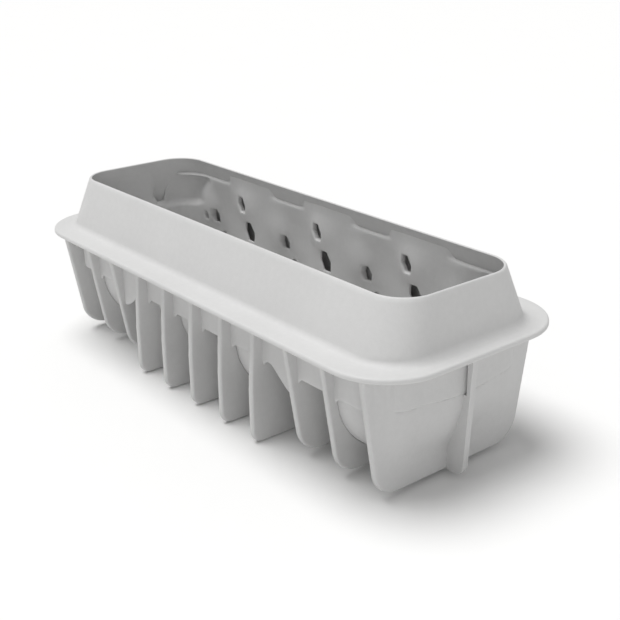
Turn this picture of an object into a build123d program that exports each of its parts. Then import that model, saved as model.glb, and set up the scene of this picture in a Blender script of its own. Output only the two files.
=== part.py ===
from build123d import *
import math
import os

# Ribbed egg carton: one row of four egg cells in a cradle of thin rib plates,
# covered by a lift-off collar.  Millimetres, +Z up, X along the row.
# The origin is the centre of the footprint, on the plane the carton stands on.

# ---------------------------------------------------------------- dimensions
UNIT = 92.5                 # half length of the collar's mouth, sets the scale
HEIGHT = 0.694 * UNIT       # standing plane to the collar's rim

# collar
MOUTH_HX, MOUTH_HY, MOUTH_R = UNIT, 0.2671 * UNIT, 0.1198 * UNIT
COLLAR_T = 1.0              # wall of the collar
TAPER_X, TAPER_Y = 0.18, 0.3815   # outward lean of the collar wall per mm down
FLANGE_HX, FLANGE_HY, FLANGE_R = 1.1162 * UNIT, 0.4519 * UNIT, 0.2309 * UNIT
FLANGE_TOP = HEIGHT - 0.2012 * UNIT
FLANGE_T = 0.0188 * UNIT
COLLAR_FILLET = 3.7         # sweep of the wall into the flange
FLANGE_EDGE = 0.6           # rounding of the flange's upper edge

# cell tray
PITCH = 0.52 * UNIT         # spacing of the egg cells
TRAY_T = 1.2
SEAT = 0.35                 # clearance between tray, collar and cradle
CREST_Z = HEIGHT - 0.055 * UNIT   # top of the scallops
VALLEY_Z = HEIGHT - 0.150 * UNIT  # foot of the scallops between two cells
END_Z = HEIGHT - 0.170 * UNIT     # low edge at the two ends
CELL_Z = HEIGHT - 0.370 * UNIT    # where the round bottoms begin
CELL_RX, CELL_RY, CELL_RZ = 22.6, 30.4, 26.0   # outside of a round bottom
TRAY_HX, TRAY_HY = 95.5, 30.4     # tray outside below the flange
VENT_R = 1.9

# cradle
RIB_T = 2.2                 # thickness of every rib plate
RIB_PITCH = 0.1925 * UNIT
RIB_COUNT = 11
RIB_TOP = FLANGE_TOP - FLANGE_T - 0.25
END_RIB_BOTTOM = HEIGHT - 0.677 * UNIT
BAND_HX, BAND_HY, BAND_R, BAND_T = 97.1, 31.9, 14.0, 1.2
BAND_BOTTOM = HEIGHT - 0.375 * UNIT
GUSSET_LOW = HEIGHT - 0.470 * UNIT
FLOOR_Z = CELL_Z - TRAY_T - SEAT - 0.05   # highest cradle point inside the band
KEEL_TOP_X, KEEL_LOW_X = 1.0735 * UNIT, 1.046 * UNIT

os.makedirs("parts", exist_ok=True)


def slab(hx, hy, r, z0, z1):
    """Rounded rectangular block between two heights."""
    with BuildPart() as bp:
        with BuildSketch(Plane.XY.offset(z0)):
            RectangleRounded(2 * hx, 2 * hy, r)
        extrude(amount=z1 - z0)
    return bp.part


def hopper(hx0, hy0, r0, z0, hx1, hy1, r1, z1):
    """Rounded rectangular block that changes size between two heights."""
    with BuildPart() as bp:
        with BuildSketch(Plane.XY.offset(z0)):
            RectangleRounded(2 * hx0, 2 * hy0, r0)
        with BuildSketch(Plane.XY.offset(z1)):
            RectangleRounded(2 * hx1, 2 * hy1, r1)
        loft(ruled=True)
    return bp.part


def block(x0, x1, y0, y1, z0, z1):
    return Pos((x0 + x1) / 2, (y0 + y1) / 2, (z0 + z1) / 2) * Box(x1 - x0, y1 - y0, z1 - z0)


def ellipsoid(cx, rx, ry, rz, cz):
    """Egg-cell bottom: a sphere of revolution about Y, squashed along X and Z."""
    s = Sphere(ry)
    s = scale(s, by=(rx / ry, 1.0, rz / ry))
    return Pos(cx, 0, cz) * s


def save(shape, node, colour):
    shape.label = node
    shape.color = Color(*colour)
    export_step(shape, f"parts/{node}.step")


CELLS = [-1.5 * PITCH, -0.5 * PITCH, 0.5 * PITCH, 1.5 * PITCH]
GREY = (0.80, 0.80, 0.80)

# ------------------------------------------------------------------- collar
down = HEIGHT - FLANGE_TOP
base_hx = MOUTH_HX + COLLAR_T + TAPER_X * down
base_hy = MOUTH_HY + COLLAR_T + TAPER_Y * down
outer = hopper(MOUTH_HX + COLLAR_T, MOUTH_HY + COLLAR_T, MOUTH_R + COLLAR_T, HEIGHT,
               base_hx, base_hy, 13.9, FLANGE_TOP)
flange = slab(FLANGE_HX, FLANGE_HY, FLANGE_R, FLANGE_TOP - FLANGE_T, FLANGE_TOP)
collar = outer + flange
root_edges = [e for e in collar.edges()
              if abs(e.bounding_box().min.Z - FLANGE_TOP) < 1e-3
              and abs(e.bounding_box().max.Z - FLANGE_TOP) < 1e-3
              and abs(e.center().X) < base_hx + 0.5 and abs(e.center().Y) < base_hy + 0.5]
collar = fillet(root_edges, COLLAR_FILLET)
rim_edges = [e for e in collar.edges()
             if abs(e.bounding_box().min.Z - FLANGE_TOP) < 1e-3
             and abs(e.bounding_box().max.Z - FLANGE_TOP) < 1e-3
             and (abs(e.bounding_box().max.Y) > FLANGE_HY - FLANGE_R - 0.1
                  or abs(e.bounding_box().min.Y) > FLANGE_HY - FLANGE_R - 0.1)
             and (abs(e.center().X) > FLANGE_HX - FLANGE_R or abs(e.center().Y) > FLANGE_HY - 1)]
collar = fillet(rim_edges, FLANGE_EDGE)
through = HEIGHT - (FLANGE_TOP - FLANGE_T)
collar -= hopper(MOUTH_HX - TAPER_X * 1, MOUTH_HY - TAPER_Y * 1, MOUTH_R, HEIGHT + 1,
                 MOUTH_HX + TAPER_X * (through + 1), MOUTH_HY + TAPER_Y * (through + 1),
                 12.9, FLANGE_TOP - FLANGE_T - 1)
save(collar, "collar", GREY)

# ---------------------------------------------------------------- cell tray
crest_down = HEIGHT - CREST_Z
tray_top_hx = MOUTH_HX + TAPER_X * crest_down - SEAT
tray_top_hy = MOUTH_HY + TAPER_Y * crest_down - SEAT
tray_knee = FLANGE_TOP - FLANGE_T
tray = hopper(tray_top_hx, tray_top_hy, 12.2, CREST_Z, TRAY_HX, TRAY_HY, 12.6, tray_knee)
tray += slab(TRAY_HX, TRAY_HY, 12.6, CELL_Z - TRAY_T, tray_knee)
for cx in CELLS:
    tray += ellipsoid(cx, CELL_RX, CELL_RY, CELL_RZ, CELL_Z) \
        & block(cx - 40, cx + 40, -40, 40, 0, CELL_Z)
hollow = hopper(tray_top_hx - TRAY_T, tray_top_hy - TRAY_T, 11.0, CREST_Z + 0.01,
                TRAY_HX - TRAY_T, TRAY_HY - TRAY_T, 11.4, tray_knee)
hollow += slab(TRAY_HX - TRAY_T, TRAY_HY - TRAY_T, 11.4, CELL_Z, tray_knee)
for cx in CELLS:
    hollow += ellipsoid(cx, CELL_RX - TRAY_T, CELL_RY - TRAY_T, CELL_RZ - TRAY_T, CELL_Z)
tray -= hollow

# scalloped upper edge along the sides: one arch to each cell
half = PITCH / 2
sag = CREST_Z - VALLEY_Z
arch_r = (half * half + sag * sag) / (2 * sag)


def arch_z(d):
    """Height of an arch at a distance from its crest."""
    return CREST_Z - arch_r + math.sqrt(arch_r * arch_r - d * d)


with BuildPart() as side_cut:
    with BuildSketch(Plane.XZ.offset(-60)):
        with BuildLine():
            Line((-2 * PITCH, CREST_Z + 20), (-2 * PITCH, CREST_Z + 0.001))
            Line((-2 * PITCH, CREST_Z + 0.001), (-1.5 * PITCH, CREST_Z))
            ThreePointArc((-1.5 * PITCH, CREST_Z), (-1.25 * PITCH, arch_z(half / 2)), (-PITCH, VALLEY_Z))
            ThreePointArc((-PITCH, VALLEY_Z), (-half, CREST_Z), (0, VALLEY_Z))
            ThreePointArc((0, VALLEY_Z), (half, CREST_Z), (PITCH, VALLEY_Z))
            ThreePointArc((PITCH, VALLEY_Z), (1.25 * PITCH, arch_z(half / 2)), (1.5 * PITCH, CREST_Z))
            Line((1.5 * PITCH, CREST_Z), (2 * PITCH, CREST_Z + 0.001))
            Line((2 * PITCH, CREST_Z + 0.001), (2 * PITCH, CREST_Z + 20))
            Line((2 * PITCH, CREST_Z + 20), (-2 * PITCH, CREST_Z + 20))
        make_face()
    extrude(amount=-120)
tray -= side_cut.part

# low edge at the two ends, rising to the corner crests
with BuildPart() as end_cut:
    with BuildSketch(Plane.YZ.offset(-120)):
        with BuildLine():
            Line((-17.5, CREST_Z + 20), (-17.5, CREST_Z))
            ThreePointArc((-17.5, CREST_Z), (-12.4, CREST_Z - 3.4), (-10.6, END_Z))
            Line((-10.6, END_Z), (10.6, END_Z))
            ThreePointArc((10.6, END_Z), (12.4, CREST_Z - 3.4), (17.5, CREST_Z))
            Line((17.5, CREST_Z), (17.5, CREST_Z + 20))
            Line((17.5, CREST_Z + 20), (-17.5, CREST_Z + 20))
        make_face()
    extrude(amount=240)
tray -= end_cut.part

# vent holes through the long sides
for x in (-PITCH, 0, PITCH):
    tray -= Pos(x, 0, HEIGHT - 0.297 * UNIT) * Rot(90, 0, 0) * Cylinder(VENT_R, 90)
for x in CELLS:
    tray -= Pos(x, 0, HEIGHT - 0.272 * UNIT) * Rot(90, 0, 0) * Cylinder(VENT_R * 0.85, 90)
save(tray, "cell_tray", GREY)

# --------------------------------------------------------------------- band
band = slab(BAND_HX, BAND_HY, BAND_R, BAND_BOTTOM, RIB_TOP) \
    - slab(BAND_HX - BAND_T, BAND_HY - BAND_T, BAND_R - BAND_T, BAND_BOTTOM - 1, RIB_TOP + 1)
g0 = 2 * RIB_PITCH + RIB_T / 2
g1 = 3 * RIB_PITCH - RIB_T / 2
for sx in (-1, 1):
    with BuildPart() as gusset:
        with BuildSketch(Plane.XZ.offset(-BAND_HY)):
            with BuildLine():
                Polyline((sx * g0, BAND_BOTTOM), (sx * g1, BAND_BOTTOM),
                         (sx * g1, GUSSET_LOW), (sx * (g1 - 3.2), GUSSET_LOW + 0.9), (sx * g0, BAND_BOTTOM))
            make_face()
        extrude(amount=2 * BAND_HY)
    tab = gusset.part - block(-120, 120, -(BAND_HY - BAND_T), BAND_HY - BAND_T, 0, 80)
    band += tab
save(band, "neck_band", GREY)

# ------------------------------------------------------------- cradle plates
band_zone = slab(BAND_HX, BAND_HY, BAND_R, BAND_BOTTOM, HEIGHT)
inner_zone = slab(BAND_HX - BAND_T, BAND_HY - BAND_T, BAND_R - BAND_T, FLOOR_Z, BAND_BOTTOM + 1)
bottoms = [ellipsoid(cx, CELL_RX + SEAT, CELL_RY + SEAT, CELL_RZ + SEAT, CELL_Z) for cx in CELLS]


def seat_height(x):
    """Lowest clear height of the cells above the middle of the cradle."""
    z = FLOOR_Z
    for cx in CELLS:
        d = abs(x - cx) / (CELL_RX + SEAT)
        if d < 1:
            z = min(z, CELL_Z - (CELL_RZ + SEAT) * math.sqrt(1 - d * d))
    return z


def rib_plate(x, middle):
    with BuildPart() as bp:
        with BuildSketch(Plane.YZ.offset(x - RIB_T / 2)):
            with BuildLine():
                if middle:
                    low, knee, top_y, low_y = 0.0, HEIGHT - 0.48 * UNIT, 0.384 * UNIT, 0.3975 * UNIT
                    Polyline((-low_y, low), (low_y, low), (low_y, knee), (top_y, RIB_TOP),
                             (-top_y, RIB_TOP), (-low_y, knee), (-low_y, low))
                else:
                    low, top_y, low_y = END_RIB_BOTTOM, 0.401 * UNIT, 0.325 * UNIT
                    Polyline((-low_y, low), (low_y, low), (top_y, RIB_TOP), (-top_y, RIB_TOP), (-low_y, low))
            make_face()
        extrude(amount=RIB_T)
        corner = [e for e in bp.edges().filter_by(Axis.X) if e.center().Z < low + 0.1]
        fillet(corner, 4.4 if middle else 8.0)
    return bp.part


xs = [(k - 5) * RIB_PITCH for k in range(RIB_COUNT)]
for k, x in enumerate(xs):
    middle = 3 <= k <= 7
    rib = rib_plate(x, middle)
    rib -= band_zone
    rib -= inner_zone
    for b in bottoms:
        rib -= b
    low = 0.0 if middle else END_RIB_BOTTOM
    lap = (END_RIB_BOTTOM + seat_height(x)) / 2
    rib -= block(x - 3, x + 3, -RIB_T / 2, RIB_T / 2, lap, HEIGHT)
    solids = rib.solids()
    rib = max(solids, key=lambda s: s.volume)
    save(rib, f"rib_{k + 1:02d}", GREY)

# centre keel along the row, half-lapped with every rib
with BuildPart() as kp:
    with BuildSketch(Plane.XZ.offset(-RIB_T / 2)):
        with BuildLine():
            Polyline((-KEEL_LOW_X, END_RIB_BOTTOM), (KEEL_LOW_X, END_RIB_BOTTOM), (KEEL_TOP_X, RIB_TOP),
                     (-KEEL_TOP_X, RIB_TOP), (-KEEL_LOW_X, END_RIB_BOTTOM))
        make_face()
    extrude(amount=RIB_T)
    corner = [e for e in kp.edges().filter_by(Axis.Y) if e.center().Z < END_RIB_BOTTOM + 0.1]
    fillet(corner, 3.2)
keel = kp.part
keel -= band_zone
keel -= inner_zone
for b in bottoms:
    keel -= b
for x in xs:
    lap = (END_RIB_BOTTOM + seat_height(x)) / 2
    keel -= block(x - RIB_T / 2, x + RIB_T / 2, -3, 3, 0, lap)
keel = max(keel.solids(), key=lambda s: s.volume)
save(keel, "keel", GREY)
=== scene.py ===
import bpy
import bmesh
import math
import numpy as np
from mathutils import Matrix, Vector


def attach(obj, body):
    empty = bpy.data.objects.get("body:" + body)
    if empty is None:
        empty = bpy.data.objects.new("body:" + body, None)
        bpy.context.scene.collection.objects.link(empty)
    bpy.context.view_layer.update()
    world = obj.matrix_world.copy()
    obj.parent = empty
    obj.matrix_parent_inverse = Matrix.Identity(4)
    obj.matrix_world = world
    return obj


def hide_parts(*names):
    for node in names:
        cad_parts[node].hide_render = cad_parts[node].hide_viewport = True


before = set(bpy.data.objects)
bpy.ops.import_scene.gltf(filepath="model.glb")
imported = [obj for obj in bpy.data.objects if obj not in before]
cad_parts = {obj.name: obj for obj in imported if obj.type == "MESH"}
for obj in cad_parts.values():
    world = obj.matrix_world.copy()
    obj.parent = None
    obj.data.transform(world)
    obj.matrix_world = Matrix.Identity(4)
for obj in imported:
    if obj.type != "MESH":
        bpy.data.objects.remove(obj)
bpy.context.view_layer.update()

scene = bpy.context.scene
MM = 0.001
U = 92.5                      # half length of the collar's mouth, mm
H = 0.694 * U                 # height of the rim above the standing plane, mm


# ------------------------------------------------------------------ camera
def make_camera():
    az, el, roll = math.radians(51.0407), math.radians(21.9503), math.radians(-0.6879)
    dist, tx, ty = 4.053, 0.148, -0.3714
    back = Vector((math.sin(az) * math.cos(el), -math.cos(az) * math.cos(el), math.sin(el)))
    fwd = -back
    right = fwd.cross(Vector((0, 0, 1))).normalized()
    up = right.cross(fwd)
    pos = back * dist + right * tx + up * ty
    r2 = right * math.cos(roll) + up * math.sin(roll)
    u2 = -right * math.sin(roll) + up * math.cos(roll)
    cam = bpy.data.objects.new("camera", bpy.data.cameras.new("camera"))
    scene.collection.objects.link(cam)
    m = Matrix((r2, u2, back)).transposed().to_4x4()
    m.translation = pos * U * MM + Vector((0, 0, H * MM))
    cam.matrix_world = m
    cam.data.sensor_width = 36.0
    cam.data.lens = 1060.7153 / 620.0 * 36.0
    cam.data.clip_start = 0.01
    cam.data.clip_end = 20.0
    scene.camera = cam
    return cam


make_camera()


# --------------------------------------------------------------- materials
def plastic(name, base, rough=0.5, seed=0.0, grain=1.0, edge_wear_and_highlight=True, vary=1.0):
    """Moulded plastic: faint mottling, uneven sheen, fine surface grain, and edges painted paler, partly as rubbed
    wear and partly as a painted highlight along the rims.
    """
    m = bpy.data.materials.new(name)
    m.use_nodes = True
    nt = m.node_tree
    N, L = nt.nodes, nt.links
    out = N["Principled BSDF"]

    def node(kind, **sockets):
        n = N.new(kind)
        for k_, v_ in sockets.items():
            n.inputs[k_.replace("_", " ")].default_value = v_
        return n

    co = N.new("ShaderNodeTexCoord")
    shift = N.new("ShaderNodeMapping")
    shift.inputs["Location"].default_value = (seed, seed * 0.37, -seed * 0.61)
    L.new(co.outputs["Object"], shift.inputs["Vector"])

    def noise(scale, detail, rg=0.5):
        n = node("ShaderNodeTexNoise", Scale=scale, Detail=detail, Roughness=rg)
        L.new(shift.outputs["Vector"], n.inputs["Vector"])
        return n

    def remap(src, lo, hi, a0=0.3, a1=0.7):
        n = N.new("ShaderNodeMapRange")
        n.inputs["From Min"].default_value = a0
        n.inputs["From Max"].default_value = a1
        n.inputs["To Min"].default_value = lo
        n.inputs["To Max"].default_value = hi
        L.new(src, n.inputs["Value"])
        return n.outputs["Result"]

    cloud = noise(26.0, 3.0)
    fleck = noise(520.0, 2.0)
    tone = N.new("ShaderNodeMath")
    tone.operation = "ADD"
    L.new(remap(cloud.outputs["Fac"], base * (1 - 0.028 * vary), base * (1 + 0.022 * vary)), tone.inputs[0])
    L.new(remap(fleck.outputs["Fac"], -0.008 * vary, 0.008 * vary), tone.inputs[1])
    value = tone.outputs[0]
    gloss = remap(noise(70.0, 4.0).outputs["Fac"], rough - 0.06, rough + 0.07)
    # convex edges are painted paler, partly as rubbed wear and partly as a painted highlight along rims and edges;
    # the same mask also makes them glossier
    if edge_wear_and_highlight:
        bev = N.new("ShaderNodeBevel")
        bev.samples = 4
        bev.inputs["Radius"].default_value = 0.0007
        geo = N.new("ShaderNodeNewGeometry")
        dot = N.new("ShaderNodeVectorMath")
        dot.operation = "DOT_PRODUCT"
        L.new(bev.outputs["Normal"], dot.inputs[0])
        L.new(geo.outputs["Normal"], dot.inputs[1])
        edge = remap(dot.outputs["Value"], 1.0, 0.0, 0.80, 0.985)
        patchy = N.new("ShaderNodeMath")
        patchy.operation = "MULTIPLY"
        L.new(edge, patchy.inputs[0])
        L.new(remap(noise(180.0, 3.0).outputs["Fac"], 0.35, 1.0), patchy.inputs[1])
        # painted highlight and wear: paler colour on the edges
        painted_edge_highlight_and_wear = N.new("ShaderNodeMath")
        painted_edge_highlight_and_wear.operation = "MULTIPLY_ADD"
        L.new(patchy.outputs[0], painted_edge_highlight_and_wear.inputs[0])
        painted_edge_highlight_and_wear.inputs[1].default_value = 0.075
        L.new(value, painted_edge_highlight_and_wear.inputs[2])
        value = painted_edge_highlight_and_wear.outputs[0]
        rub = N.new("ShaderNodeMath")
        rub.operation = "MULTIPLY_ADD"
        L.new(patchy.outputs[0], rub.inputs[0])
        rub.inputs[1].default_value = -0.10
        L.new(gloss, rub.inputs[2])
        gloss = rub.outputs[0]
    grey = N.new("ShaderNodeCombineColor")
    for i_, f_ in enumerate((1.0, 0.998, 0.992)):
        k_ = N.new("ShaderNodeMath")
        k_.operation = "MULTIPLY"
        k_.inputs[1].default_value = f_
        L.new(value, k_.inputs[0])
        L.new(k_.outputs[0], grey.inputs[i_])
    L.new(grey.outputs["Color"], out.inputs["Base Color"])
    L.new(gloss, out.inputs["Roughness"])
    peel = node("ShaderNodeBump", Strength=0.16 * grain, Distance=0.0006)
    L.new(noise(240.0, 3.0).outputs["Fac"], peel.inputs["Height"])
    fine = node("ShaderNodeBump", Strength=0.22 * grain, Distance=0.00012)
    L.new(noise(1500.0, 2.0, 0.6).outputs["Fac"], fine.inputs["Height"])
    L.new(peel.outputs["Normal"], fine.inputs["Normal"])
    L.new(fine.outputs["Normal"], out.inputs["Normal"])
    out.inputs["Specular IOR Level"].default_value = 0.42
    return m


TONE = 0.60
MATS = {
    "collar_plastic": plastic("collar_plastic_matte", TONE, 0.55, 0.0),
    "tray_plastic": plastic("tray_plastic_matte", TONE, 0.58, 3.1),
    # the cradle's copy of the same plastic is painted 0.03 darker, as painted shade for the ribs, band and plates
    # under the flange
    "cradle_plastic": plastic("cradle_plastic_painted_shade", TONE - 0.03, 0.55, 7.7),
}
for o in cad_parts.values():
    for s in o.material_slots:
        s.material = MATS["cradle_plastic"]


# ------------------------------------------------------------ mesh helpers
def new_object(name, verts, faces, smooth=True):
    me = bpy.data.meshes.new(name)
    me.from_pydata([tuple(v) for v in verts], [], faces)
    me.validate()
    me.update()
    if smooth:
        me.polygons.foreach_set("use_smooth", [True] * len(me.polygons))
    o = bpy.data.objects.new(name, me)
    scene.collection.objects.link(o)
    return o


def stand_for(obj, node, body, material):
    obj.data.materials.clear()
    obj.data.materials.append(material)
    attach(obj, body)
    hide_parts(node)
    return obj


def ring_params(n_corner=14, n_long=48, n_short=14):
    """Stations round a rounded rectangle: (quadrant signs, corner angle or None, fraction along a side)."""
    out = []
    # counter-clockwise from the middle of the +X side's upper half
    corners = ((1, 1, 0), (-1, 1, 90), (-1, -1, 180), (1, -1, 270))
    for ci, (sx, sy, a0) in enumerate(corners):
        for i in range(n_corner + 1):
            out.append(("c", sx, sy, math.radians(a0 + 90.0 * i / n_corner)))
        n = n_long if ci in (0, 2) else n_short
        for i in range(1, n):
            out.append(("s", ci, i / n))
    return out


RING = ring_params()


def ring(hx, hy, r, zx, zy=None):
    """One closed ring of points in mm; zx and zy are its heights on the X-facing and Y-facing sides."""
    zy = zx if zy is None else zy
    pts = []
    ccx, ccy = hx - r, hy - r
    for st in RING:
        if st[0] == "c":
            _, sx, sy, a = st
            nx, ny = math.cos(a), math.sin(a)
            x, y = sx * ccx + r * nx, sy * ccy + r * ny
        else:
            _, ci, t = st
            if ci == 0:
                x, y, nx, ny = ccx + (-2 * ccx) * t, hy, 0, 1
            elif ci == 1:
                x, y, nx, ny = -hx, ccy + (-2 * ccy) * t, -1, 0
            elif ci == 2:
                x, y, nx, ny = -ccx + 2 * ccx * t, -hy, 0, -1
            else:
                x, y, nx, ny = hx, -ccy + 2 * ccy * t, 1, 0
        z = zx * nx * nx + zy * ny * ny
        pts.append((x * MM, y * MM, z * MM))
    return pts


def skin_rings(name, rings, closed=True):
    n = len(rings[0])
    verts = [p for r_ in rings for p in r_]
    faces = []
    m = len(rings)
    for j in range(m if closed else m - 1):
        k = (j + 1) % m
        for i in range(n):
            i2 = (i + 1) % n
            faces.append((j * n + i, j * n + i2, k * n + i2, k * n + i))
    return new_object(name, verts, faces)


# ------------------------------------------------------------------ collar
TX, TY = 0.18, 0.3815
FLANGE_TOP = H - 0.2012 * U
FLANGE_LOW = FLANGE_TOP - 0.0188 * U
MHX, MHY, MR = U, 0.2671 * U, 0.1198 * U
FHX, FHY, FR = 1.1162 * U, 0.4519 * U, 0.2309 * U


def make_collar():
    t = 1.0                       # wall
    rt = 0.45                     # rounding of the rim
    fil = 3.0                     # sweep into the flange
    edge = 0.75                   # rounding of the flange's edge
    rings = []
    down = H - FLANGE_TOP
    # inner wall, from under the flange up to the rim
    d_low = H - FLANGE_LOW
    for k in range(13):
        d = d_low + (rt - d_low) * k / 12
        rings.append(ring(MHX + TX * d, MHY + TY * d, MR + 0.09 * d, H - d))
    # rounded rim
    for k in range(1, 8):
        a = math.pi - math.pi * k / 8
        off = t / 2 + (t / 2) * math.cos(a)
        z = H - rt + rt * math.sin(a)
        rings.append(ring(MHX + off, MHY + off, MR + off, z))
    # outer wall down to where the sweep begins
    ax, ay = math.atan(TX), math.atan(TY)
    turn_x, turn_y = math.pi / 2 - ax, math.pi / 2 - ay
    tan_x, tan_y = fil * math.tan(turn_x / 2), fil * math.tan(turn_y / 2)
    sx, sy = down - tan_x * math.cos(ax), down - tan_y * math.cos(ay)
    for k in range(15):
        f = k / 14
        dx, dy = rt + (sx - rt) * f, rt + (sy - rt) * f
        rings.append(ring(MHX + t + TX * dx, MHY + t + TY * dy, MR + t + 0.09 * (dx + dy) / 2, H - dx, H - dy))
    # the sweep
    cx, cz = MHX + t + TX * sx + fil * math.cos(ax), (H - sx) + fil * math.sin(ax)
    cy, czy = MHY + t + TY * sy + fil * math.cos(ay), (H - sy) + fil * math.sin(ay)
    r0 = MR + t + 0.09 * (sx + sy) / 2
    r1 = r0 + 2.6
    for k in range(1, 13):
        f = k / 12
        bx, by = math.pi + ax + turn_x * f, math.pi + ay + turn_y * f
        rings.append(ring(cx + fil * math.cos(bx), cy + fil * math.cos(by), r0 + (r1 - r0) * f,
                          cz + fil * math.sin(bx), czy + fil * math.sin(by)))
    x1, y1 = cx, cy
    # flange top, edge and underside
    for k in range(1, 6):
        f = k / 5
        rings.append(ring(x1 + (FHX - edge - x1) * f, y1 + (FHY - edge - y1) * f,
                          r1 + (FR - edge - r1) * f, FLANGE_TOP))
    for k in range(1, 7):
        a = math.pi / 2 - math.pi / 2 * k / 6
        o = edge * math.cos(a) - edge
        rings.append(ring(FHX + o, FHY + o, FR + o, FLANGE_TOP - edge + edge * math.sin(a)))
    low = 0.45
    for k in range(0, 5):
        a = -math.pi / 2 * k / 4
        o = low * math.cos(a) - low
        rings.append(ring(FHX + o, FHY + o, FR + o, FLANGE_LOW + low + low * math.sin(a)))
    ix, iy, ir = MHX + TX * d_low, MHY + TY * d_low, MR + 0.09 * d_low
    for k in range(1, 7):
        f = k / 7
        rings.append(ring(FHX - low + (ix - FHX + low) * f, FHY - low + (iy - FHY + low) * f,
                          FR - low + (ir - FR + low) * f, FLANGE_LOW))
    o = skin_rings("collar_shell", rings)
    return stand_for(o, "collar", "cover", MATS["collar_plastic"])


# --------------------------------------------------------------- cell tray
PITCH = 0.52 * U
CELLS = [-1.5 * PITCH, -0.5 * PITCH, 0.5 * PITCH, 1.5 * PITCH]
CREST = H - 0.058 * U
VALLEY = H - 0.150 * U
END_EDGE = H - 0.170 * U
CELL_Z = H - 0.370 * U
RX, RY, RZ = 22.6, 30.4, 26.0
WALL = 1.2
RIB_PITCH = 0.1925 * U
BAND_X, BAND_Y, BAND_LOW = 97.1, 31.9, 29.5
NECK_X = 93.6                 # the band's outside at the two ends
PLATE_X = 5 * RIB_PITCH + 1.1  # outer face of the end plates


def smin(a, b, k):
    h = np.clip(0.5 + 0.5 * (b - a) / k, 0, 1)
    return b + (a - b) * h - k * h * (1 - h)


def smax(a, b, k):
    return -smin(-a, -b, k)


def step(x, a, b):
    t = np.clip((x - a) / (b - a), 0, 1)
    return t * t * (3 - 2 * t)


def crumbs(me):
    """Vertices that aren't joined to the largest piece of the mesh."""
    e = np.empty(len(me.edges) * 2, dtype=np.int32)
    me.edges.foreach_get("vertices", e)
    a, b = e[0::2], e[1::2]
    label = np.arange(len(me.vertices))
    while True:
        low = np.minimum(label[a], label[b])
        new = label.copy()
        np.minimum.at(new, a, low)
        np.minimum.at(new, b, low)
        new = new[new]
        if np.array_equal(new, label):
            break
        label = new
    return label != np.bincount(label).argmax()


def quad_mesh(name, field, origin, pitch, keep=1.0, whole=False):
    """Closed surface of a signed distance grid in mm, as a smooth mesh."""
    import openvdb
    g = openvdb.FloatGrid(3.0)
    g.copyFromArray(np.clip(field, -3, 3).astype(np.float32))
    pts, quads = g.convertToQuads(isovalue=0.0)
    pts = (np.asarray(pts, dtype=np.float64) * pitch + np.array(origin)) * MM
    quads = np.asarray(quads)[:, ::-1]
    me = bpy.data.meshes.new(name)
    me.vertices.add(len(pts))
    me.vertices.foreach_set("co", pts.ravel())
    me.loops.add(len(quads) * 4)
    me.loops.foreach_set("vertex_index", quads.ravel().astype(np.int32))
    me.polygons.add(len(quads))
    me.polygons.foreach_set("loop_start", np.arange(0, len(quads) * 4, 4, dtype=np.int32))
    me.polygons.foreach_set("loop_total", np.full(len(quads), 4, dtype=np.int32))
    me.update(calc_edges=True)
    me.validate()
    bm = bmesh.new()
    bm.from_mesh(me)
    if whole:
        drop = set(np.nonzero(crumbs(me))[0].tolist())
        bmesh.ops.delete(bm, geom=[v for v in bm.verts if v.index in drop], context="VERTS")
    bmesh.ops.recalc_face_normals(bm, faces=bm.faces)
    bm.to_mesh(me)
    bm.free()
    o = bpy.data.objects.new(name, me)
    scene.collection.objects.link(o)
    if keep < 1.0:
        mod = o.modifiers.new("thin", "DECIMATE")
        mod.ratio = keep
        dg = bpy.context.evaluated_depsgraph_get()
        me2 = bpy.data.meshes.new_from_object(o.evaluated_get(dg))
        o.modifiers.clear()
        o.data = me2
        me2.name = name
    o.data.polygons.foreach_set("use_smooth", [True] * len(o.data.polygons))
    return o


def profile(z, pts):
    """Piecewise linear height profile, eased between its stations."""
    zs = np.array([q[0] for q in pts], dtype=np.float32)
    vs = np.array([q[1] for q in pts], dtype=np.float32)
    fine = np.linspace(zs[0], zs[-1], 160)
    raw = np.interp(fine, zs, vs)
    kern = np.hanning(17)
    kern /= kern.sum()
    pad = np.concatenate([np.full(8, raw[0]), raw, np.full(8, raw[-1])])
    return np.interp(z, fine, np.convolve(pad, kern, mode="valid")).astype(np.float32)


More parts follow.
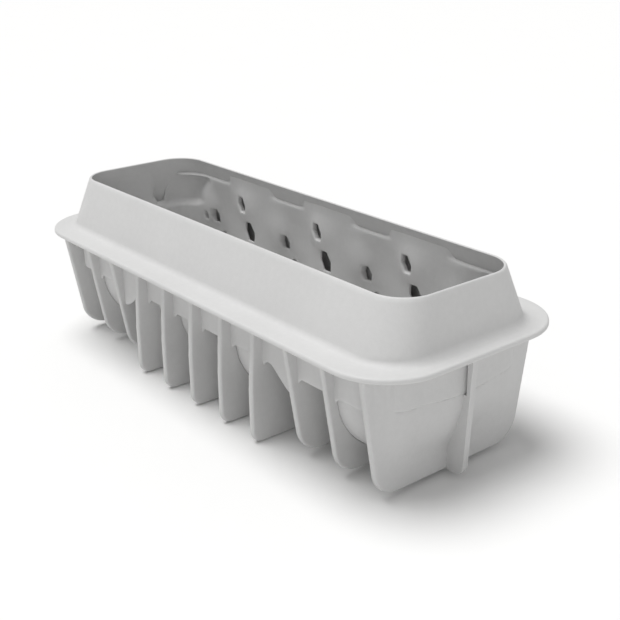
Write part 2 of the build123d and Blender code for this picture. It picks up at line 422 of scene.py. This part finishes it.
def make_tray():
    p = 0.5
    ox, oy, oz = -98.0, -33.5, 1.0
    nx, ny, nz = int(196 / p), int(67 / p), int(64 / p)
    X = (ox + p * np.arange(nx, dtype=np.float32))[:, None, None]
    Y = (oy + p * np.arange(ny, dtype=np.float32))[None, :, None]
    Z = (oz + p * np.arange(nz, dtype=np.float32))[None, None, :]
    zl = Z.ravel()
    knee = FLANGE_LOW

    def rrect(hx, hy, rr):
        qx, qy = np.abs(X) - (hx - rr), np.abs(Y) - (hy - rr)
        return np.sqrt(np.maximum(qx, 0) ** 2 + np.maximum(qy, 0) ** 2) + np.minimum(np.maximum(qx, qy), 0) - rr

    def egg(cx, rx, ry, rz):
        a = ((X - cx) / rx) ** 2 + (Y / ry) ** 2 + ((Z - CELL_Z) / rz) ** 2
        b = ((X - cx) / rx ** 2) ** 2 + (Y / ry ** 2) ** 2 + ((Z - CELL_Z) / rz ** 2) ** 2
        k0 = np.sqrt(a)
        return k0 * (k0 - 1) / np.maximum(np.sqrt(b), 1e-5)

    # outside of the liner: inside the band below the flange, close against the collar above it
    snug = 0.75
    wall_y = MHY + TY * (H - zl) + snug
    wall_x = MHX + TX * (H - zl) + snug
    lift = np.clip((zl - (knee - 0.3)) / 0.6, 0, 1)
    out_y = 30.4 + (np.minimum(wall_y, 32.4) - 30.4) * lift
    out_x = NECK_X - 1.5 + (np.minimum(wall_x, 96.6) - (NECK_X - 1.5)) * lift
    out_r = 13.0 + (MR + 0.09 * (H - zl) + snug - 13.0) * lift
    prism = rrect(out_x[None, None, :], out_y[None, None, :], out_r[None, None, :].astype(np.float32))

    # inside of the liner: upright, a little deeper at each cell than between two cells
    xc = np.clip(np.round(X / PITCH - 0.5), -2, 1) * PITCH + PITCH / 2
    dx = X - xc
    out_side = np.sign(xc) * dx                     # positive toward the near end of the carton
    outer = np.abs(xc) > PITCH
    cw = 0.5 + 0.5 * np.cos(2 * np.pi * np.clip(dx / PITCH, -0.5, 0.5))
    cw = np.where(outer & (out_side > 0), 1.0, cw).astype(np.float32)
    base = profile(zl, [(29, 26.4), (38, 26.0), (45, 25.9), (52, 25.9), (58, 25.9), (61, 25.7), (64, 25.6)])[None, None, :]
    deep = profile(zl, [(29, 2.6), (36, 2.6), (44, 2.4), (50, 1.6), (55, 0.5), (57.5, 0.0), (64, 0.0)])[None, None, :]
    in_y = base + deep * cw
    xe = profile(zl, [(29, 90.7), (43, 90.8), (49, 92.6), (55, 93.3), (60, 93.1), (64, 93.0)])[None, None, :]
    in_x = xe * np.ones_like(cw)

    # scoop above each cell, down to a short ledge; in the end cells it runs on round the corner
    ya = np.abs(Y)
    side = step(np.abs(dx), 12.0, 4.0)
    side = np.where(outer & (out_side > 0), 1.0, side)
    drop = step(ya, 21.0, 11.8) * (np.abs(X) > 84)
    edge_z = CREST - 1.1 - drop * (0.105 * U)
    rise = step(Z, edge_z - 0.7, edge_z + 0.6)
    scoop = (side * rise).astype(np.float32)
    scoop_x = (scoop * step(ya, 6.0, 15.0)).astype(np.float32)
    in_y = in_y + (wall_y[None, None, :] + 0.6 - in_y) * scoop
    in_x = in_x + (wall_x[None, None, :] + 0.6 - in_x) * scoop_x
    in_r = (MR + 0.09 * (H - zl) + 2.0)[None, None, :].astype(np.float32)
    in_r = in_r + (17.0 - in_r) * step(CREST - Z, -1.0, 8.0)
    inner = rrect(in_x, in_y, in_r)
    del in_x, in_y, rise, side, drop
    # hollow at each corner, a little deeper than the walls beside it
    bay = np.sqrt((np.abs(X) - 82.4) ** 2 + (ya - 16.0) ** 2) - 12.0
    bay = bay + 3.4 * step(Z, 46.5, 43.4)
    inner = smin(inner, smax(bay, Z - 56.6, 1.6), 0.5)
    del bay

    thick = (WALL + 9.0 * np.clip((zl - 53.5) / 1.5, 0, 1))[None, None, :].astype(np.float32)
    # ends in a rounded edge, 0.6 mm thick, where it runs into the collar's wall
    shell = np.maximum(smax(-inner, prism, 1.2), inner - thick)
    wall = smax(np.maximum(np.maximum(shell, prism), (CELL_Z - WALL) - Z), Z - (H - 0.9), 0.3)
    plate = np.maximum(np.maximum(prism, (CELL_Z - WALL) - Z), Z - CELL_Z)
    solid = np.minimum(wall, plate)
    for cx in CELLS:
        solid = smin(solid, np.maximum(egg(cx, RX + 0.27, RY + 0.27, RZ + 0.27), Z - CELL_Z - 1), 0.6)
    cavity = np.maximum(inner, CELL_Z - Z)
    for cx in CELLS:
        bowl = egg(cx, RX - WALL, RY - WALL - 0.3, RZ - WALL)
        # the end wall stands in front of the widest part of the end cells
        cavity = smin(cavity, smax(bowl, np.abs(X) - 90.6 - 1.3 * np.clip(CELL_Z + 0.2 - Z, 0, 3), 0.6), 3.2)
    cavity = smax(cavity, np.abs(X) - 90.8 - 1.3 * np.clip(CELL_Z + 0.2 - Z, 0, 3) - 8.0 * np.clip((Z - 43.0) / 3.5, 0, 1), 0.4)
    tray = smax(solid, -cavity, 0.45)
    del solid, wall, plate, shell, cavity

    def patch(x0, z0, r):
        i0, i1 = int((x0 - r - ox) / p), int((x0 + r - ox) / p) + 1
        k0, k1 = int((z0 - r - oz) / p), int((z0 + r - oz) / p) + 1
        return slice(max(i0, 0), i1), slice(max(k0, 0), k1)

    def nub(x0, z0, rx, rz, out, foot, sides=(-1, 1), blend=1.6):
        """Low rounded swelling of the wall; the far side mirrors the near one through the middle."""
        for s in sides:
            xs = x0 * s
            i, k = patch(xs, z0, 11)
            b = np.sqrt(((X[i] - xs) / rx) ** 2 + ((s * foot - Y) / out) ** 2 + ((Z[:, :, k] - z0) / rz) ** 2)
            b = np.maximum((b - 1) * out, prism[i, :, k])
            tray[i, :, k] = smin(tray[i, :, k], b, blend)

    def vent(x0, z0, w, h, lean, sides=(-1, 1)):
        """Six-cornered vent cut through the liner into the space behind it."""
        for s in sides:
            xs0 = x0 * s
            i, k = patch(xs0, z0, 9)
            zz = Z[:, :, k] - z0
            xs = (X[i] - xs0) * s - lean * zz
            d = np.maximum(np.abs(xs) / (w / 2) + 0.4 * np.abs(zz) / (h / 2), np.abs(zz) / (h / 2)) - 1
            d = d * min(w, h) / 2 * 0.8
            d = np.maximum(d, (s * 15.0 - Y) * s)
            tray[i, :, k] = smax(tray[i, :, k], -d, 0.4)

    for x0 in CELLS:
        nub(x0 - 7.4, H - 0.205 * U, 5.0, 6.4, 1.6, 27.4, blend=2.6)
        vent(x0 - 3.6, H - 0.254 * U, 4.2, 5.6, 0.0)
    for x0 in (-PITCH, 0.0, PITCH):
        nub(x0 - 3.6, H - 0.150 * U, 4.2, 4.6, 1.0, 25.9, blend=2.2)
        vent(x0 - 4.9, H - 0.146 * U, 5.2, 5.8, -0.25)
        vent(x0 - 1.0, H - 0.262 * U, 5.8, 7.6, -0.20)
    vent(-0.873 * U, H - 0.262 * U, 2.2, 3.4, 0.0)
    vent(0.873 * U, H - 0.262 * U, 2.2, 3.4, 0.0)
    # two vents low in each end
    for s in (-1, 1):
        for y0 in (-0.124 * U, 0.124 * U):
            j0, j1 = int((y0 - 7 - oy) / p), int((y0 + 7 - oy) / p) + 1
            z0 = H - 0.163 * U
            k0, k1 = int((z0 - 9 - oz) / p), int((z0 + 7 - oz) / p) + 1
            yy, zz = Y[:, j0:j1] - y0, Z[:, :, k0:k1] - z0
            b = np.sqrt((yy / 3.0) ** 2 + ((s * 93.6 - X) / 1.8) ** 2 + ((zz + 4.6) / 2.4) ** 2)
            b = np.maximum((b - 1) * 1.8, prism[:, j0:j1, k0:k1])
            tray[:, j0:j1, k0:k1] = smin(tray[:, j0:j1, k0:k1], b, 1.0)
            d = np.maximum(np.abs(yy) / 3.2 + 0.4 * np.abs(zz) / 2.9, np.abs(zz) / 2.9) - 1
            d = np.maximum(d * 2.2, (s * 80.0 - X) * s)
            tray[:, j0:j1, k0:k1] = smax(tray[:, j0:j1, k0:k1], -d, 0.4)

    o = quad_mesh("cell_tray_liner", tray, (ox, oy, oz), p, keep=0.45, whole=True)
    return stand_for(o, "cell_tray", "tray", MATS["tray_plastic"])


# ---------------------------------------------- cradle plates with soft edges
def cell_distance(x, y, z, grow=0.0):
    """Rough distance in mm from a point to the nearest cell's outside."""
    best = 1e9
    for cx in CELLS:
        k = math.sqrt(((x - cx) / (RX + grow)) ** 2 + (y / (RY + grow)) ** 2 + ((z - CELL_Z) / (RZ + grow)) ** 2)
        g = math.sqrt(((x - cx) / RX ** 2) ** 2 + (y / RY ** 2) ** 2 + ((z - CELL_Z) / RZ ** 2) ** 2)
        best = min(best, abs(k * (k - 1) / max(g, 1e-6)))
    return best


def plate_edge_free(c):
    """False where a plate butts against the band, the flange or another plate."""
    against_band = c.z > BAND_LOW - 0.6 and (abs(abs(c.y) - BAND_Y) < 0.8 or abs(abs(c.x) - BAND_X) < 0.8)
    under_flange = c.z > FLANGE_LOW - 0.8
    lap = abs(c.y) < 1.6 and abs(c.x) < 96
    return not (against_band or under_flange or lap)


def band_edge_free(c):
    """False where the band meets a plate or the flange."""
    near_rib = any(abs(abs(c.x - RIB_PITCH * k) - 1.1) < 0.5 for k in range(-5, 6))
    return not (near_rib or c.z > FLANGE_LOW - 0.8 or abs(c.y) < 1.6)


def soft_copy(node, name, body, width, free, segments=3, angle=30):
    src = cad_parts[node]
    me = src.data.copy()
    me.name = name
    me.transform(src.matrix_world)
    bm = bmesh.new()
    bm.from_mesh(me)
    bmesh.ops.remove_doubles(bm, verts=bm.verts, dist=1e-6)
    bmesh.ops.dissolve_limit(bm, angle_limit=math.radians(0.6), verts=bm.verts, edges=bm.edges)
    layer = bm.edges.layers.float.get("bevel_weight_edge") or bm.edges.layers.float.new("bevel_weight_edge")
    for e in bm.edges:
        if len(e.link_faces) != 2 or e.calc_face_angle(0.0) < math.radians(angle):
            continue
        c = (e.verts[0].co + e.verts[1].co) * 500.0
        e[layer] = 1.0 if free(c) and cell_distance(c.x, c.y, c.z) > 0.9 else 0.0
        e.smooth = e[layer] > 0.5
    bm.to_mesh(me)
    bm.free()
    o = bpy.data.objects.new(name, me)
    scene.collection.objects.link(o)
    mod = o.modifiers.new("edge", "BEVEL")
    mod.width = width * MM
    mod.segments = segments
    mod.limit_method = "WEIGHT"
    mod.use_clamp_overlap = True
    mod.harden_normals = True
    me.polygons.foreach_set("use_smooth", [True] * len(me.polygons))
    return stand_for(o, node, body, MATS["cradle_plastic"])


def cell_reach(Y, Z, grow):
    """How far out the end cell stands at each point across the end, open upward."""
    down = np.minimum(Z - CELL_Z, 0) / (RZ + grow)
    k = 1 - (Y / (RY + grow)) ** 2 - down ** 2
    return CELLS[3] + (RX + grow) * np.sqrt(np.maximum(k, 0)) - 40.0 * (k <= 0)


def swell(Y, Z):
    """Outer face of an end plate: flat at its edges, drawn out over the end cell and up to the band."""
    ya = np.abs(Y)
    lip = (NECK_X - PLATE_X - 0.15) * step(ya, 33.0, 17.0) * step(Z, 7.0, 28.0)
    return smax(PLATE_X + lip, cell_reach(Y, Z, 1.15), 2.6)


def make_end_plate(node, name, sign):
    p = 0.45
    ox, oy, oz = 84.0, -38.0, 0.0
    X = (ox + p * np.arange(int(15 / p), dtype=np.float32))[:, None, None]
    Y = (oy + p * np.arange(int(76 / p) + 2, dtype=np.float32))[None, :, None]
    Z = (oz + p * np.arange(int(45 / p), dtype=np.float32))[None, None, :]
    low, top = H - 0.677 * U, FLANGE_LOW - 0.25
    y0, y1, r = 0.325 * U, 0.401 * U, 8.0
    # leaning sides and rounded lower corners
    run = math.hypot(y1 - y0, top - low)
    ny, nz = (top - low) / run, -(y1 - y0) / run
    lean = (np.abs(Y) - y0) * ny + (Z - low) * nz
    floor_ = low - Z
    a, b = lean + r, floor_ + r
    corner = np.sqrt(np.maximum(a, 0) ** 2 + np.maximum(b, 0) ** 2) + np.minimum(np.maximum(a, b), 0) - r
    front = swell(Y, Z)
    back = np.maximum(PLATE_X - 2.2, cell_reach(Y, Z, 0.42))
    plate = np.maximum(X - front, back - X)
    f = smax(smax(corner, plate, 0.8), Z - top, 0.1)
    # the band passes through the upper middle
    qx, qy = X - (NECK_X - 13.5), np.abs(Y) - (BAND_Y - 13.5)
    belt = np.sqrt(np.maximum(qx, 0) ** 2 + np.maximum(qy, 0) ** 2) + np.minimum(np.maximum(qx, qy), 0) - 13.5
    belt = np.minimum(belt, X - cell_reach(Y, Z, 1.35))
    f = np.maximum(f, -np.maximum(belt + 0.25, BAND_LOW + 0.6 - Z))
    o = quad_mesh(name, f * 0.85, (ox, oy, oz), p, keep=0.5)
    if sign < 0:
        flip_x(o)
    return stand_for(o, node, "cradle", MATS["cradle_plastic"])


def make_rib(k):
    """Cross plate k of the eleven: free edges rounded, cut out for the cells and the tray's floor."""
    x0 = (k - 6) * RIB_PITCH
    middle = 4 <= k <= 8
    p = 0.45
    ox, oy, oz = x0 - 2.1, -38.0, -1.0
    X = (ox + p * np.arange(int(4.3 / p) + 1, dtype=np.float32))[:, None, None]
    Y = (oy + p * np.arange(int(76 / p) + 2, dtype=np.float32))[None, :, None]
    Z = (oz + p * np.arange(int(46 / p), dtype=np.float32))[None, None, :]
    top = FLANGE_LOW - 0.25
    if middle:
        low, r, knee = 0.0, 4.4, H - 0.48 * U
        side = 0.3975 * U - (0.0135 * U) * np.clip((Z - knee) / (top - knee), 0, 1)
        lean = np.abs(Y) - side
    else:
        low, r = H - 0.677 * U, 8.0
        side = 0.325 * U + (0.076 * U) * (Z - low) / (top - low)
        lean = (np.abs(Y) - side) * 0.986
    a, b = lean + r, low - Z + r
    corner = np.sqrt(np.maximum(a, 0) ** 2 + np.maximum(b, 0) ** 2) + np.minimum(np.maximum(a, b), 0) - r
    f = smax(corner, np.abs(X - x0) - 1.1, 0.9)
    f = smax(f, Z - top, 0.1)
    inside = np.maximum(np.abs(Y) - (BAND_Y - 0.5), (CELL_Z - WALL - 0.3) - Z)
    f = np.maximum(f, -inside)
    for cx in CELLS:
        if abs(x0 - cx) > RX + 4:
            continue
        g = 0.22
        e = ((X - cx) / (RX + g)) ** 2 + (Y / (RY + g)) ** 2 + ((Z - CELL_Z) / (RZ + g)) ** 2
        n = ((X - cx) / (RX + g) ** 2) ** 2 + (Y / (RY + g) ** 2) ** 2 + ((Z - CELL_Z) / (RZ + g) ** 2) ** 2
        k0 = np.sqrt(e)
        f = np.maximum(f, -(k0 * (k0 - 1) / np.maximum(np.sqrt(n), 1e-5)))
    o = quad_mesh(f"rib_plate_{k:02d}", f, (ox, oy, oz), p, keep=0.4)
    return stand_for(o, f"rib_{k:02d}", "cradle", MATS["cradle_plastic"])


def flip_x(o):
    me = o.data
    for v in me.vertices:
        v.co.x = -v.co.x
    me.flip_normals()
    me.update()


def make_band():
    p = 0.5
    ox, oy, oz = -99.0, -36.0, 22.0
    X = (ox + p * np.arange(int(198 / p) + 1, dtype=np.float32))[:, None, None]
    Y = (oy + p * np.arange(int(72 / p) + 1, dtype=np.float32))[None, :, None]
    Z = (oz + p * np.arange(int(22.5 / p), dtype=np.float32))[None, None, :]
    top = FLANGE_LOW - 0.25
    ax_ = np.abs(X)

    def ring2d(hx, hy, r):
        qx, qy = ax_ - (hx - r), np.abs(Y) - (hy - r)
        return np.sqrt(np.maximum(qx, 0) ** 2 + np.maximum(qy, 0) ** 2) + np.minimum(np.maximum(qx, qy), 0) - r

    dome_out = ax_ - cell_reach(Y, Z, 1.35)
    dome_in = ax_ - cell_reach(Y, Z, 0.42)
    outer = smin(ring2d(NECK_X, BAND_Y, 13.5), np.maximum(dome_out, 86.0 - ax_), 2.6)
    inner = smin(ring2d(NECK_X - 1.2, BAND_Y - 1.2, 12.3), np.maximum(dome_in, 86.0 - ax_), 0.6)
    # lower edge: level, then running down into the plate at each side of a bay
    bay = np.abs(((X / RIB_PITCH) % 1.0) - 0.5) * 2.0
    edge = BAND_LOW - 0.3 - 2.6 * step(bay, 0.55, 1.0) ** 2
    edge = np.where(ax_ > 5 * RIB_PITCH - 1.0, BAND_LOW, edge)
    f = np.maximum(outer, -inner)
    f = smax(f, edge - Z, 0.9)
    f = smax(f, Z - top, 0.1)
    # deeper gussets in the third and eighth bays
    for bay0, sy in ((2, -1), (2, 1), (-3, -1), (-3, 1)):
        x0, x1 = bay0 * RIB_PITCH + 0.9, (bay0 + 1) * RIB_PITCH - 0.9
        slope = (X - x0) / (x1 - x0) if bay0 > 0 else (x1 - X) / (x1 - x0)
        foot = BAND_LOW + 1.0 - 8.5 * step(slope, 0.0, 1.0)
        g = np.maximum(np.maximum(x0 - X, X - x1), np.abs(np.abs(Y) - (BAND_Y - 0.6)) - 0.6)
        g = smax(np.maximum(g, Z - top), foot - Z, 0.8)
        g = np.maximum(g, -Y * sy)
        f = np.minimum(f, g)
    o = quad_mesh("neck_band_wall", f, (ox, oy, oz), p, keep=0.45)
    return stand_for(o, "neck_band", "cradle", MATS["cradle_plastic"])


make_collar()
make_tray()
for k in range(2, 11):
    make_rib(k)
make_end_plate("rib_01", "rib_plate_01", -1)
make_end_plate("rib_11", "rib_plate_11", 1)
soft_copy("keel", "keel_plate", "cradle", 0.6, plate_edge_free)
make_band()


# ------------------------------------------------------- floor and lighting
floor_mesh = bpy.data.meshes.new("floor")
s = 3.0
floor_mesh.from_pydata([(-s, -s, 0), (s, -s, 0), (s, s, 0), (-s, s, 0)], [], [(0, 1, 2, 3)])
floor = bpy.data.objects.new("floor", floor_mesh)
scene.collection.objects.link(floor)
fm = plastic("floor_paper", 0.86, 0.9, 1.7, grain=0.1, edge_wear_and_highlight=False, vary=0.08)
floor_mesh.materials.append(fm)

world = bpy.data.worlds.new("studio")
scene.world = world
world.use_nodes = True
bg = world.node_tree.nodes["Background"]
bg.inputs["Color"].default_value = (1, 1, 1, 1)
bg.inputs["Strength"].default_value = 0.40


def sun(name, direction, strength, angle):
    d = bpy.data.lights.new(name, "SUN")
    d.energy = strength
    d.angle = math.radians(angle)
    o = bpy.data.objects.new(name, d)
    scene.collection.objects.link(o)
    o.rotation_mode = "QUATERNION"
    o.rotation_quaternion = Vector(direction).normalized().to_track_quat("Z", "Y")
    return o


sun("key", (-0.20, -0.18, 0.94), 2.5, 40)
sun("fill", (0.82, -0.54, 0.15), 0.42, 30)
scene.view_settings.view_transform = "Standard"
